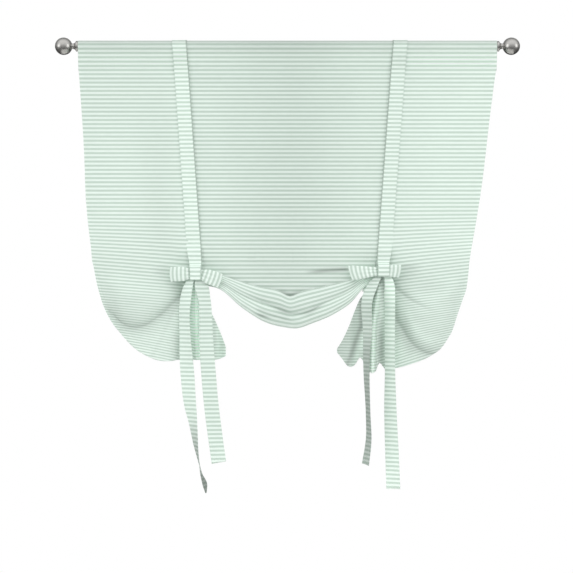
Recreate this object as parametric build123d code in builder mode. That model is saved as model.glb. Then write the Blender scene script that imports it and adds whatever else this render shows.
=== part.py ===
"""Tie-up curtain: a striped cloth panel on a telescoping rod, lifted by two pairs of ties knotted in bows.

Millimetres, +Z up, +X to the right along the rod, front towards -Y. The origin is on the rod's axis, at the
middle of the panel.
"""

import math
import os
from collections import namedtuple

from build123d import *

os.makedirs("parts", exist_ok=True)

# Rod: two steel tubes, the right one sliding in the left one
rod_diameter = 25.4
tube_wall = 1.0
outer_tube_length = 711.2
inner_tube_length = 685.8
slide_clearance = 0.3
rod_end_gap = 1.6

# Finials: a turned ball with a neck and a trumpet collar, screwed into a plug in the tube's end
ball_diameter = 44.2
ball_reach = 36.0
neck_diameter = 13.8
neck_start = 12.5
collar_diameter = 26.4
collar_rim = 4.5
collar_flare_share = 0.5
stud_diameter = 8.0
stud_length = 16.0
plug_length = 22.0
plug_clearance = 0.1

# Cloth panel and the pocket it hangs by
panel_width = 1066.8
cloth_thickness = 1.2
pocket_depth = 76.0
pocket_clearance = 0.3
knot_drop = 580.0
hang_drop = 820.0
gather_height = 30.0

# Depth of the folds, and the length of cloth that takes a full fold
wing_belly = 24.0
wing_crease = 20.0
wing_ray = 10.0
wing_ray_start = 120.0
swag_belly = 16.0
swag_roll = 11.0
swag_back = 6.0
fan_setback = 8.0
fan_pleat = 6.0
full_fold = 180.0

# Ties: strips of the same cloth, sewn double
tie_width = 37.0
tie_thickness = 1.6
tie_clearance = 0.5
tie_top_angle = 8.0
seam_run = 10.0
knot_approach = 60.0
band_height = 34.0
knot_stand_off = 20.0
knot_gap = 0.8
core_length = 10.0
core_height = 18.0
core_back = 4.0
loop_depth = 16.0
left_knot_width = 27.0
left_knot_rise = 0.0
right_knot_width = 29.0
right_knot_rise = 6.0
left_bow_left_loop = 64.0
left_bow_left_tilt = 2.0
left_bow_right_loop = 72.0
left_bow_right_tilt = 20.0
right_bow_left_loop = 84.0
right_bow_left_tilt = 3.0
right_bow_right_loop = 46.0
right_bow_right_tilt = 0.0
left_front_tail = 557.0
left_back_tail = 480.0
right_front_tail = 553.0
right_back_tail = 491.0

# Side hems at the gathering row and the planes where the swag meets the wings, as shares of the panel's width
left_hem_share = -0.467
right_hem_share = 0.435
left_plane_share = -0.2215
right_plane_share = 0.2115

# Straps across the panel: their middles at the rod and at the knot, as shares of its width
left_strap_share = -0.2574
left_knot_share = -0.2189
right_strap_share = 0.2682
right_knot_share = 0.2284

# Stations across the cloth under the gathering row: a share of the panel's width, then for a fan its inner
# edge, then the hem. Edge and hem are shares of the drop from the knots to the lowest cloth.
left_wing_shares = [
    (-0.4655, -0.07), (-0.4495, 0.165), (-0.4301, 0.41), (-0.4174, 0.516), (-0.4019, 0.622),
    (-0.3839, 0.718), (-0.3624, 0.808), (-0.3385, 0.872), (-0.312, 0.92), (-0.285, 0.932), (-0.259, 0.917),
    (left_plane_share, 0.915),
]
left_fan_shares = [
    (left_plane_share, 0.11, 0.915), (-0.207, 0.20, 0.919), (-0.192, 0.33, 0.921),
    (-0.178, 0.455, 0.918), (-0.163, 0.605, 0.910), (-0.1475, 0.78, 0.875),
]
swag_shares = [
    (left_plane_share, 0.10), (-0.195, 0.125), (-0.1615, 0.165), (-0.1065, 0.367), (-0.0515, 0.516),
    (-0.0108, 0.565), (0.0251, 0.5775), (0.0586, 0.527), (0.1136, 0.4204), (0.1543, 0.2925),
    (0.1780, 0.17), (0.195, 0.12), (right_plane_share, 0.10),
]
right_fan_shares = [
    (0.1190, 0.80, 0.84), (0.1304, 0.72, 0.904), (0.1470, 0.56, 0.990), (0.1600, 0.41, 0.975),
    (0.1750, 0.26, 0.900), (0.1880, 0.205, 0.985), (0.2000, 0.17, 1.055), (right_plane_share, 0.11, 1.035),
]
right_wing_shares = [
    (right_plane_share, 1.035), (0.2185, 0.960), (0.2340, 1.015), (0.2596, 1.005), (0.2978, 0.952),
    (0.3330, 0.872), (0.3528, 0.820), (0.3720, 0.740), (0.3928, 0.601), (0.4083, 0.40), (0.4270, 0.09),
    (0.4335, -0.07),
]

# Creases of the wings: the lowest place as a share of the drop, where that is as a share of the wing's
# breadth, the rise from there towards the knot, and the spread. The belly starts a margin in from the hem.
left_crease_low_share = 0.80
left_crease_turn_share = 0.25
left_crease_rise_share = 0.72
left_crease_hem_rise_share = 0.50
right_crease_low_share = 0.86
right_crease_turn_share = 0.40
right_crease_rise_share = 0.90
right_crease_depth_share = 0.40
crease_spread_share = 0.12
wing_margin_share = 0.15

# Valleys that run out from the right knot: degrees from straight down, spread, and depth as shares
ray_angles = (18.0, 40.0)
ray_spread_angle = 7.0
ray_depth_shares = (1, 0.6)

# Pleats of the fans: where a wing turns into a fan as a share of its breadth, then the place of one pleat
# and the pitch as shares of the panel's width
fan_start_share = 0.75
left_pleat_share = -0.165
left_pleat_pitch_share = 0.045
right_pleat_share = 0.15
right_pleat_pitch_share = 0.0485

# Valleys between the swag's rolls and the size of its folded edge, as shares of its drop
swag_valley_shares = (0.47, 0.77, 1.06)
swag_start_share = 0.12
swag_fold_share = 0.40
swag_top_roll_share = 0.40
swag_turn_share = 0.036
swag_return_share = 0.6

# Loops: their width at the knot and at the far end, as shares of the tie's width
loop_pinch_share = 0.55
loop_end_share = 0.94

# Tails from the knot down: share of the tail's length, then sideways, forwards and width as shares of the
# tie's width, then the turn of the ribbon about its own line in degrees
left_front_tail_shares = [
    (0.008, -0.16, 0.00, 0.24, 0), (0.045, -0.42, 0.08, 0.55, 12), (0.142, -0.69, 0.16, 1, 40),
    (0.27, -0.72, 0.18, 1, 40), (0.4535, -0.55, 0.18, 1, 18), (0.605, -0.345, 0.16, 1, 34),
    (0.678, -0.17, 0.14, 1, 52), (0.793, 0.035, 0.10, 1, 72), (0.907, 0.45, 0.05, 0.9, 78),
    (1, 0.76, 0, 0.45, 80),
]
left_back_tail_shares = [
    (0.008, 0.14, 0.00, 0.24, 0), (0.048, 0.26, 0.06, 0.55, 0), (0.138, 0.48, 0.12, 1, -8),
    (0.314, 0.69, 0.15, 1, -10), (0.526, 0.90, 0.15, 1, -6), (0.70, 1.10, 0.12, 1, -4),
    (0.877, 1.39, 0.08, 1, -8), (1, 1.61, 0.05, 1, -10),
]
right_front_tail_shares = [
    (0.008, 0.16, 0.00, 0.24, 0), (0.045, 0.36, 0.08, 0.6, 20), (0.13, 0.44, 0.16, 1, 43),
    (0.30, 0.46, 0.18, 1, 46), (0.466, 0.476, 0.18, 1, 46), (0.62, 0.483, 0.14, 1, 36),
    (0.85, 0.586, 0.08, 1, 27), (1, 0.67, 0.05, 1, 23),
]
right_back_tail_shares = [
    (0.008, -0.14, 0.00, 0.24, 0), (0.057, -0.60, 0.08, 0.6, 20), (0.125, -1.05, 0.18, 1, 45),
    (0.317, -1.12, 0.22, 1, 55), (0.525, -1.10, 0.20, 1, 64), (0.738, -1.0, 0.14, 1, 76),
    (0.868, -0.98, 0.10, 1, 72), (1, -1.24, 0.06, 1, 66),
]

# Where a back tie comes round under the gathered cloth, from behind to the knot: drop below the knots,
# sideways towards the swag, depth and width, all as shares of the tie's width
left_pass_shares = [
    (-0.14, 0, 0.27, 0.8), (0.54, 0.27, 0.36, 0.5), (1.03, 0.60, 0.32, 0.32),
    (1.18, 0.76, 0.10, 0.32), (1.18, 0.74, -0.16, 0.32), (0.9, 0.58, -0.38, 0.3), (0.25, 0.18, -0.52, 0.25),
]
right_pass_shares = [
    (-0.14, 0.08, 0.27, 0.8), (0.54, 0.55, 0.36, 0.5), (0.95, 1.05, 0.32, 0.32),
    (1.21, 1.27, 0.10, 0.32), (1.21, 1.25, -0.16, 0.32), (0.9, 0.95, -0.40, 0.3), (0.25, 0.2, -0.52, 0.25),
]

rod_radius = rod_diameter / 2
inner_radius = rod_radius - tube_wall - slide_clearance
rod_end = panel_width / 2 + rod_end_gap
fall = hang_drop - knot_drop
gather_drop = knot_drop - gather_height
pocket_radius = rod_radius + pocket_clearance
seam_drop = pocket_depth - pocket_radius - cloth_thickness
pocket_lean = math.asin(pocket_radius / seam_drop)
tie_stand_off = cloth_thickness + tie_clearance + tie_thickness / 2
tie_depth = tie_stand_off - cloth_thickness / 2
band_reach = (loop_depth + tie_thickness) / 2 + knot_gap

# A knot: the middles of its strap at the rod and at the knot, the knot's height and the width of its band
Knot = namedtuple("Knot", "strap_share share height width")
left_knot = Knot(left_strap_share, left_knot_share, left_knot_rise - knot_drop, left_knot_width)
right_knot = Knot(right_strap_share, right_knot_share, right_knot_rise - knot_drop, right_knot_width)


def arch(value):
    """A half sine wave over 0 to 1, and zero outside."""
    return math.sin(math.pi * min(max(value, 0), 1))


def bump(value, middle, spread):
    """A smooth hump of height one."""
    return math.exp(-(((value - middle) / spread) ** 2))


def ease(value):
    """A smooth step from zero to one."""
    value = min(max(value, 0), 1)
    return value * value * (3 - 2 * value)


def between(rows):
    """The stations with one more half-way between each two, on a smooth curve through them."""
    finer = []
    for index in range(len(rows) - 1):
        near, here = rows[max(index - 1, 0)], rows[index]
        there, far = rows[index + 1], rows[min(index + 2, len(rows) - 1)]
        middle = [(9 * (b + c) - (a + d)) / 16 for a, b, c, d in zip(near, here, there, far)]
        finer += [here, tuple(middle)]
    return finer + [rows[-1]]


def hem_height(share):
    """The height of a share of the drop below the knots."""
    return -(knot_drop + share * fall)


def left_depth(x_share, down):
    """The left wing's belly, its smile-shaped crease from the hem up to the knot, and the fan's pleats."""
    side = (x_share - left_hem_share) / (left_plane_share - left_hem_share)
    to_knot = max(side - left_crease_turn_share, 0)
    to_hem = max(left_crease_turn_share - side, 0)
    rise = left_crease_rise_share * to_knot**1.3 + left_crease_hem_rise_share * to_hem
    crease = left_crease_low_share - rise
    spread = arch(wing_margin_share + (1 - wing_margin_share) * side)
    belly = wing_belly * arch(down) * spread * ease(3 * down)
    valley = wing_crease * bump(down, crease, crease_spread_share) * spread * ease(5 * down)
    pleat = fan_pleat * math.cos(2 * math.pi * (x_share - left_pleat_share) / left_pleat_pitch_share)
    fanned = ease((side - fan_start_share) / (1 - fan_start_share))
    return valley - belly + fanned * down * (fan_setback + pleat)


def right_rays(x_share, down):
    """Two valleys that run out from the right knot over the wing, one beside the tail and one flatter."""
    across = (x_share - right_knot_share) * panel_width
    below = down * fall
    angle = math.degrees(math.atan2(across, below))
    reach = math.hypot(across, below)
    rays = 0
    for ray_angle, depth_share in zip(ray_angles, ray_depth_shares):
        rays += depth_share * bump(angle, ray_angle, ray_spread_angle)
    return wing_ray * rays * ease(reach / wing_ray_start) * arch((1 + down) / 2)


def right_depth(x_share, down):
    """The right wing's belly, its soft low crease, the valleys from the knot and the fan's pleats."""
    side = (x_share - right_hem_share) / (right_plane_share - right_hem_share)
    to_knot = max(side - right_crease_turn_share, 0)
    crease = right_crease_low_share - right_crease_rise_share * to_knot**1.5
    spread = arch(wing_margin_share + (1 - wing_margin_share) * side)
    belly = wing_belly * arch(down) * spread * ease(3 * down)
    valley = right_crease_depth_share * wing_crease * bump(down, crease, crease_spread_share)
    valley = valley * spread * ease(5 * down) + right_rays(x_share, down)
    pleat = -fan_pleat * math.cos(2 * math.pi * (x_share - right_pleat_share) / right_pleat_pitch_share)
    fanned = ease((side - fan_start_share) / (1 - fan_start_share))
    return valley - belly + fanned * down * (fan_setback + pleat)


def hanging_path(x_share, top, hem, depth, rows):
    """Depth and height down a section of a wing or a fan, from its top to its hem."""
    drop = -gather_drop - hem_height(hem)
    folded = min(1, drop / full_fold)
    points = []
    for row in range(rows + 1):
        z = top + (hem_height(hem) - top) * row / rows
        points.append((folded * depth(x_share, (-gather_drop - z) / drop), z))
    return points


def swag_path(x_share, hem):
    """Depth and height down a section of the swag: its rolls, the fold at the bottom and the cloth behind."""
    spread = arch((x_share - left_plane_share) / (right_plane_share - left_plane_share)) ** 0.8
    turn = swag_turn_share * (-gather_drop - hem_height(hem))
    drop = -gather_drop - hem_height(hem) - turn
    points = [(0, -gather_drop), (0, -gather_drop - drop * swag_start_share * 2 / 3)]
    rows = 14
    for row in range(1, rows + 1):
        down = swag_start_share + (1 - swag_start_share) * row / rows
        roll = 0
        for upper, lower in zip(swag_valley_shares, swag_valley_shares[1:]):
            roll += arch((down - upper) / (lower - upper)) ** 2
        folded = ease((down - swag_fold_share) / (1 - swag_fold_share))
        fullness = swag_top_roll_share + (1 - swag_top_roll_share) * down
        forward = swag_belly * folded + swag_roll * roll * fullness
        points.append((-spread * forward, -gather_drop - drop * down))
    front, low = points[-1]
    for angle in (math.pi / 4, math.pi / 2, 3 * math.pi / 4):
        points.append((front + turn * (1 - math.cos(angle)), low - turn * math.sin(angle)))
    behind = front + 2 * turn
    for step in range(5):
        up = step / 4
        points.append((behind + (swag_back - behind) * ease(up), low + drop * swag_return_share * up))
    return points


def run_shares(points):
    """How far along its section each point is, as shares of the whole."""
    run = [0]
    for here, there in zip(points, points[1:]):
        run.append(run[-1] + math.dist(here, there))
    return [length / run[-1] for length in run]


def cloth(sections):
    """Upright faces of cloth, one a section, with the same knots in all so that a loft follows the folds.

    A section's top edge is level, so that it meets the flat cloth above it squarely.
    """
    columns = zip(*[run_shares(points) for x_share, points in sections])
    knots = [sum(column) / len(sections) for column in columns]
    faces = []
    for x_share, points in sections:
        front, back = [], []
        for index, (y, z) in enumerate(points):
            before = points[max(index - 1, 0)]
            after = points[min(index + 1, len(points) - 1)]
            along = Vector(after[0] - before[0], after[1] - before[1]).normalized()
            if index == 0:
                along = Vector(0, -1)
            half = along * (cloth_thickness / 2)
            front.append(Vector(x_share * panel_width, y + half.Y, z - half.X))
            back.append(Vector(x_share * panel_width, y - half.Y, z + half.X))
        front_edge = Edge.make_spline(front, parameters=knots)
        back_edge = Edge.make_spline(back, parameters=knots)
        hem_edge = Edge.make_line(front[-1], back[-1])
        top_edge = Edge.make_line(back[0], front[0])
        faces.append(Face(Wire([front_edge, hem_edge, back_edge, top_edge])))
    return faces


def ribbon(stations):
    """Sections of a tie, one a station: a point, the width and the turn about the tie's line in degrees."""
    sections = []
    for index, (point, width, turn) in enumerate(stations):
        before = Vector(*stations[max(index - 1, 0)][0])
        after = Vector(*stations[min(index + 1, len(stations) - 1)][0])
        along = (after - before).normalized()
        square = Plane(origin=point, x_dir=(1, 0, 0), z_dir=along)
        with BuildSketch(square) as section:
            Rectangle(width, tie_thickness, rotation=turn)
        sections.append(section.sketch)
    return sections


def strap(side, knot):
    """Stations of a strap from the top of the pocket to just above the knot, on the front or the back."""
    steps = 7
    points = []
    start = math.radians(tie_top_angle)
    for step in range(steps + 1):
        angle = start + (math.pi / 2 + pocket_lean - start) * step / steps
        stand_off = pocket_radius + tie_stand_off
        points.append((side * stand_off * math.sin(angle), stand_off * math.cos(angle)))
    seam_y = tie_stand_off * math.cos(pocket_lean)
    seam_z = -seam_drop - tie_stand_off * math.sin(pocket_lean)
    points += [(side * seam_y, seam_z), (side * tie_depth, seam_z - seam_run)]
    points.append((side * tie_depth, knot.height + knot_approach))
    stations = []
    for y, z in points:
        x = panel_width * (knot.strap_share + (knot.share - knot.strap_share) * z / knot.height)
        stations.append(((x, y, z), tie_width, 0))
    return stations


def knot_band(knot):
    """Stations of a front strap where it comes forward and goes over the knot."""
    x = panel_width * knot.share
    front = -knot_stand_off - band_reach
    half_way = (tie_width + knot.width) / 2
    return [
        ((x, front / 2, knot.height + (band_height + knot_approach) / 4), half_way, 0),
        ((x, front, knot.height + band_height / 2), knot.width, 0),
        ((x, front, knot.height - band_height / 2), knot.width, 0),
    ]


def under_pass(side, knot, shares):
    """Stations of a back tie from the strap, under the gathered cloth, to the knot."""
    stations = []
    for drop, sideways, depth, width in shares:
        x = panel_width * knot.share + side * sideways * tie_width
        stations.append(((x, depth * tie_width, -knot_drop - drop * tie_width), width * tie_width, 0))
    return stations


def tail(knot, length, shares):
    """Stations of a tail from the knot to its end."""
    stations = []
    for drop, sideways, forward, width, turn in shares:
        x = panel_width * knot.share + sideways * tie_width
        point = (x, -knot_stand_off - forward * tie_width, knot.height - drop * length)
        stations.append((point, width * tie_width, turn))
    return stations


def bow_plane(side, knot, tilt):
    """The upright plane of a loop that leaves its knot to the left (-1) or right (1), clear of the other."""
    middle = Vector(panel_width * knot.share, -knot_stand_off, knot.height)
    outward = Vector(side * math.cos(math.radians(tilt)), 0, -math.sin(math.radians(tilt)))
    start = math.tan(math.radians(tilt)) * loop_pinch_share * tie_width / 2
    return Plane(origin=middle + outward * start, x_dir=outward, z_dir=(0, -1, 0))


def loop_ring(bow, length):
    """The loop seen along the ribbon's width: a long, thin ring that starts at the knot."""
    with BuildSketch(Plane(origin=bow.origin, x_dir=bow.x_dir, z_dir=bow.y_dir)) as ring:
        with Locations((length / 2 + knot_gap, 0)):
            Ellipse(length / 2, loop_depth / 2)
            Ellipse(length / 2 - tie_thickness, loop_depth / 2 - tie_thickness, mode=Mode.SUBTRACT)
    return ring.sketch


def loop_outline(bow, length):
    """The loop seen from the front: pinched at the knot, full at its middle and a little less at its end."""
    pinch = loop_pinch_share * tie_width / 2
    end = loop_end_share * tie_width / 2
    far_end = length + 2 * knot_gap
    with BuildSketch(bow) as outline:
        with BuildLine():
            Polyline(
                (0, -pinch), (length / 2, -tie_width / 2), (far_end, -end), (far_end, end),
                (length / 2, tie_width / 2), (0, pinch), close=True,
            )
        make_face()
    return outline.sketch


def core(side, knot):
    """The bunched cloth of one half of a knot, seen from the front and starting at its back."""
    with BuildSketch(bow_plane(side, knot, 0).offset(-core_back)) as half:
        with Locations(((core_length + knot_gap) / 2, 0)):
            Rectangle(core_length, core_height)
    return half.sketch


def finial_profile(plane):
    """Half the finial's lengthwise section, outwards along X: stud, collar, trumpet, neck and ball."""
    neck_end = ball_reach - math.sqrt((ball_diameter**2 - neck_diameter**2) / 4)
    ball_end = ball_reach + ball_diameter / 2
    with BuildSketch(plane) as profile:
        with BuildLine():
            Polyline(
                (-stud_length, 0), (-stud_length, stud_diameter / 2), (0, stud_diameter / 2),
                (0, collar_diameter / 2), (collar_rim, collar_diameter / 2),
            )
            Spline(
                (collar_rim, collar_diameter / 2), (neck_start, neck_diameter / 2),
                tangents=((collar_flare_share, -1), (1, 0)),
            )
            Line((neck_start, neck_diameter / 2), (neck_end, neck_diameter / 2))
            ThreePointArc((neck_end, neck_diameter / 2), (ball_reach, ball_diameter / 2), (ball_end, 0))
            Line((ball_end, 0), (-stud_length, 0))
        make_face()
    return profile.sketch


gather_row = -gather_drop
wing_rows = 9
fan_rows = 5
left_wing = []
for x, hem in between(left_wing_shares):
    left_wing.append((x, hanging_path(x, gather_row, hem, left_depth, wing_rows)))
right_wing = []
for x, hem in between(right_wing_shares):
    right_wing.append((x, hanging_path(x, gather_row, hem, right_depth, wing_rows)))
left_fan = []
for x, top, hem in between(left_fan_shares):
    left_fan.append((x, hanging_path(x, hem_height(top), hem, left_depth, fan_rows)))
right_fan = []
for x, top, hem in between(right_fan_shares):
    right_fan.append((x, hanging_path(x, hem_height(top), hem, right_depth, fan_rows)))
swag = [(x, swag_path(x, hem)) for x, hem in swag_shares]

# Curtain panel: the pocket, the flat upper part, then wings, fans and swag lofted through upright sections
tangent_y = pocket_radius * math.cos(pocket_lean)
tangent_z = -pocket_radius * math.sin(pocket_lean)
with BuildPart() as curtain_panel:
    with BuildSketch(Plane.YZ.offset(-panel_width / 2)):
        with BuildLine() as pocket_line:
            ThreePointArc((-tangent_y, tangent_z), (0, pocket_radius), (tangent_y, tangent_z))
            Polyline((tangent_y, tangent_z), (0, -seam_drop), (-tangent_y, tangent_z))
        make_face()
        offset(amount=cloth_thickness, kind=Kind.ARC)
        make_face(pocket_line.edges(), mode=Mode.SUBTRACT)
    extrude(amount=panel_width)
    with BuildSketch(Plane.XZ):
        with BuildLine():
            Polyline(
                (-panel_width / 2, -seam_drop), (panel_width / 2, -seam_drop),
                (right_hem_share * panel_width, gather_row), (left_hem_share * panel_width, gather_row),
                close=True,
            )
        make_face()
    extrude(amount=cloth_thickness / 2, both=True)
    loft(cloth(left_wing), ruled=True)
    loft(cloth(left_fan), ruled=True)
    loft(cloth(swag), ruled=True)
    loft(cloth(right_fan), ruled=True)
    loft(cloth(right_wing), ruled=True)
curtain_panel.part.label = "curtain_panel"
export_step(curtain_panel.part, "parts/curtain_panel.step")

# Left front tie: strap, band over the knot, left loop and left tail
left_bow_left = bow_plane(-1, left_knot, left_bow_left_tilt)
with BuildPart() as left_front_tie:
    extrude(loop_ring(left_bow_left, left_bow_left_loop), amount=tie_width / 2, both=True)
    outline = loop_outline(left_bow_left, left_bow_left_loop)
    extrude(outline, amount=loop_depth, both=True, mode=Mode.INTERSECT)
    extrude(core(-1, left_knot), amount=core_back + band_reach)
    strap_stations = strap(-1, left_knot)
    loft(ribbon(strap_stations + knot_band(left_knot)), ruled=True)
    loft(ribbon(tail(left_knot, left_front_tail, left_front_tail_shares)), ruled=True)
left_front_tie.part.label = "left_front_tie"
export_step(left_front_tie.part, "parts/left_front_tie.step")

# Left back tie: strap behind the cloth, pass under it to the knot, right loop and right tail
left_bow_right = bow_plane(1, left_knot, left_bow_right_tilt)
with BuildPart() as left_back_tie:
    extrude(loop_ring(left_bow_right, left_bow_right_loop), amount=tie_width / 2, both=True)
    outline = loop_outline(left_bow_right, left_bow_right_loop)
    extrude(outline, amount=loop_depth, both=True, mode=Mode.INTERSECT)
    extrude(core(1, left_knot), amount=core_back + loop_depth / 4)
    strap_stations = strap(1, left_knot)
    loft(ribbon(strap_stations + under_pass(1, left_knot, left_pass_shares)), ruled=True)
    loft(ribbon(tail(left_knot, left_back_tail, left_back_tail_shares)), ruled=True)
left_back_tie.part.label = "left_back_tie"
export_step(left_back_tie.part, "parts/left_back_tie.step")

# Right front tie: strap, band over the knot, right loop and right tail
right_bow_right = bow_plane(1, right_knot, right_bow_right_tilt)
with BuildPart() as right_front_tie:
    extrude(loop_ring(right_bow_right, right_bow_right_loop), amount=tie_width / 2, both=True)
    outline = loop_outline(right_bow_right, right_bow_right_loop)
    extrude(outline, amount=loop_depth, both=True, mode=Mode.INTERSECT)
    extrude(core(1, right_knot), amount=core_back + band_reach)
    strap_stations = strap(-1, right_knot)
    loft(ribbon(strap_stations + knot_band(right_knot)), ruled=True)
    loft(ribbon(tail(right_knot, right_front_tail, right_front_tail_shares)), ruled=True)
right_front_tie.part.label = "right_front_tie"
export_step(right_front_tie.part, "parts/right_front_tie.step")

# Right back tie: strap behind the cloth, pass under it to the knot, left loop and left tail
right_bow_left = bow_plane(-1, right_knot, right_bow_left_tilt)
with BuildPart() as right_back_tie:
    extrude(loop_ring(right_bow_left, right_bow_left_loop), amount=tie_width / 2, both=True)
    outline = loop_outline(right_bow_left, right_bow_left_loop)
    extrude(outline, amount=loop_depth, both=True, mode=Mode.INTERSECT)
    extrude(core(-1, right_knot), amount=core_back + loop_depth / 4)
    strap_stations = strap(1, right_knot)
    loft(ribbon(strap_stations + under_pass(-1, right_knot, right_pass_shares)), ruled=True)
    loft(ribbon(tail(right_knot, right_back_tail, right_back_tail_shares)), ruled=True)
right_back_tie.part.label = "right_back_tie"
export_step(right_back_tie.part, "parts/right_back_tie.step")

# Rod tubes: the outer one from the left end, the inner one from the right end
with BuildPart() as rod_outer_tube:
    with BuildSketch(Plane.YZ.offset(-rod_end)):
        Circle(rod_radius)
        Circle(rod_radius - tube_wall, mode=Mode.SUBTRACT)
    extrude(amount=outer_tube_length)
rod_outer_tube.part.label = "rod_outer_tube"
export_step(rod_outer_tube.part, "parts/rod_outer_tube.step")

with BuildPart() as rod_inner_tube:
    with BuildSketch(Plane.YZ.offset(rod_end)):
        Circle(inner_radius)
        Circle(inner_radius - tube_wall, mode=Mode.SUBTRACT)
    extrude(amount=-inner_tube_length)
rod_inner_tube.part.label = "rod_inner_tube"
export_step(rod_inner_tube.part, "parts/rod_inner_tube.step")

# End plugs: pressed into the tube ends and bored for the finials' studs
with BuildPart() as left_end_plug:
    with BuildSketch(Plane.YZ.offset(-rod_end)):
        Circle(rod_radius - tube_wall - plug_clearance)
        Circle(stud_diameter / 2 + plug_clearance, mode=Mode.SUBTRACT)
    extrude(amount=plug_length)
left_end_plug.part.label = "left_end_plug"
export_step(left_end_plug.part, "parts/left_end_plug.step")

with BuildPart() as right_end_plug:
    with BuildSketch(Plane.YZ.offset(rod_end)):
        Circle(inner_radius - tube_wall - plug_clearance)
        Circle(stud_diameter / 2 + plug_clearance, mode=Mode.SUBTRACT)
    extrude(amount=-plug_length)
right_end_plug.part.label = "right_end_plug"
export_step(right_end_plug.part, "parts/right_end_plug.step")

# Finials: turned about the rod's axis
with BuildPart() as left_finial:
    revolve(finial_profile(Plane(origin=(-rod_end, 0, 0), x_dir=(-1, 0, 0), z_dir=(0, 0, 1))), axis=Axis.X)
left_finial.part.label = "left_finial"
export_step(left_finial.part, "parts/left_finial.step")

with BuildPart() as right_finial:
    revolve(finial_profile(Plane(origin=(rod_end, 0, 0), x_dir=(1, 0, 0), z_dir=(0, 0, 1))), axis=Axis.X)
right_finial.part.label = "right_finial"
export_step(right_finial.part, "parts/right_finial.step")
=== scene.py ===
"""Dresses the tie-up curtain: a striped cotton panel with straps and bows on a rod with satin ball finials.

Lengths are metres. The cloth's forms follow the same rules as the part's source, on finer grids, with hems,
puckers and ripples added.
"""

import logging
from dataclasses import dataclass
from enum import Enum
from math import asin, cos, pi, radians, sin, tan
from typing import Callable, Sequence

import bmesh
import bpy
import numpy as np
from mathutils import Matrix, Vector


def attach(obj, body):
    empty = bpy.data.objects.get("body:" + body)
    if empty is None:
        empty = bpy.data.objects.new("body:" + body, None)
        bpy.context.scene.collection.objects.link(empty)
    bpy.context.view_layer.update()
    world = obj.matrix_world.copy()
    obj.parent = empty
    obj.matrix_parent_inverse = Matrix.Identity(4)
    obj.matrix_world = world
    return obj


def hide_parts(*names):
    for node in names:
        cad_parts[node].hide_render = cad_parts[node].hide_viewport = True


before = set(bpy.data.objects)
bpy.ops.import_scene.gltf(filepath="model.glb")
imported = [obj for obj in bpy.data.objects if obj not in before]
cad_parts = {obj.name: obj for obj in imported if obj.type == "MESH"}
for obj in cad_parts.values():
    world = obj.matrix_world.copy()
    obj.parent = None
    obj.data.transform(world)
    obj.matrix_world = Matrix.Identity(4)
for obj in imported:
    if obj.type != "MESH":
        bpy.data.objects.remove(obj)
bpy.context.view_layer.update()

log = logging.getLogger("curtain")
Array = np.ndarray
Stations = Sequence[tuple[float, ...]]
Material = bpy.types.Material
Tree = bpy.types.NodeTree
Socket = bpy.types.NodeSocket
Rule = Callable[[Array, Array, Array], Array]
Pair = tuple[float, float]
Grid = tuple[int, int]


class Side(Enum):
    """The left or the right half of the curtain, with the sign of its X."""

    LEFT = -1
    RIGHT = 1


class Layer(Enum):
    """A strap in front of the panel or behind it, with the sign of its Y."""

    FRONT = -1
    BACK = 1


def linear(code: str) -> tuple[float, float, float, float]:
    """Turns an sRGB hex colour into linear RGBA.

    Args:
        code: the colour as "#rrggbb".

    Returns:
        Linear red, green, blue and an alpha of one.
    """
    parts = [int(code[i : i + 2], 16) / 255 for i in (1, 3, 5)]
    red, green, blue = (c / 12.92 if c <= 0.04045 else ((c + 0.055) / 1.055) ** 2.4 for c in parts)
    return red, green, blue, 1.0


def add_node(
    tree: Tree, kind: str, links: dict | None = None, out: int | str = 0, **settings: object
) -> Socket | None:
    """Adds one node to a tree.

    Args:
        tree: the node tree.
        kind: the node's type name.
        links: input name or number to an output socket, or to a plain value.
        out: name or number of the output that is wanted.
        settings: attributes of the node itself.

    Returns:
        The wanted output, or None where the node has none.
    """
    node = tree.nodes.new(kind)
    for name, value in settings.items():
        setattr(node, name, value)
    for key, value in (links or {}).items():
        if isinstance(value, Socket):
            tree.links.new(value, node.inputs[key])
        else:
            node.inputs[key].default_value = value
    return node.outputs[out] if node.outputs else None


def calculate(tree: Tree, operation: str, *values: object) -> Socket:
    """Adds a node that calculates with one or two values."""
    return add_node(tree, "ShaderNodeMath", dict(enumerate(values)), operation=operation)


def rescale(tree: Tree, value: Socket, given: Pair, wanted: Pair = (0, 1), smooth: bool = False) -> Socket:
    """Adds a node that takes one range of a value to another, in a straight line or smoothly."""
    ends = zip(("From Min", "From Max", "To Min", "To Max"), (*given, *wanted))
    kind = "SMOOTHSTEP" if smooth else "LINEAR"
    return add_node(tree, "ShaderNodeMapRange", {"Value": value, **dict(ends)}, interpolation_type=kind)


def blank_tree(owner: Material | bpy.types.World) -> Tree:
    """Empties the node tree of a material or a world and gives it back."""
    owner.use_nodes = True
    owner.node_tree.nodes.clear()
    return owner.node_tree


def add_object(name: str, data: bpy.types.ID) -> bpy.types.Object:
    """Makes an object of some data and links it to the scene."""
    made = bpy.data.objects.new(name, data)
    bpy.context.scene.collection.objects.link(made)
    return made


def arch(value: Array) -> Array:
    """A half sine wave over 0 to 1, and zero outside."""
    return np.sin(pi * np.clip(value, 0, 1))


def bump(value: Array, middle: Array | float, spread: float) -> Array:
    """A smooth hump of height one."""
    return np.exp(-(((value - middle) / spread) ** 2))


def crisp(value: Array, middle: Array | float, spread: float) -> Array:
    """A hump of height one with a narrow top, for creases."""
    round_top = 0.22 * spread
    return np.exp((round_top - np.hypot(value - middle, round_top)) / spread)


def ease(value: Array) -> Array:
    """A smooth step from zero to one."""
    held = np.clip(value, 0, 1)
    return held * held * (3 - 2 * held)


def share_of(value: Array, start: Array | float, end: Array | float) -> Array:
    """How far a value is from a start, at 0, to an end, at 1."""
    return (value - start) / (end - start)


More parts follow.
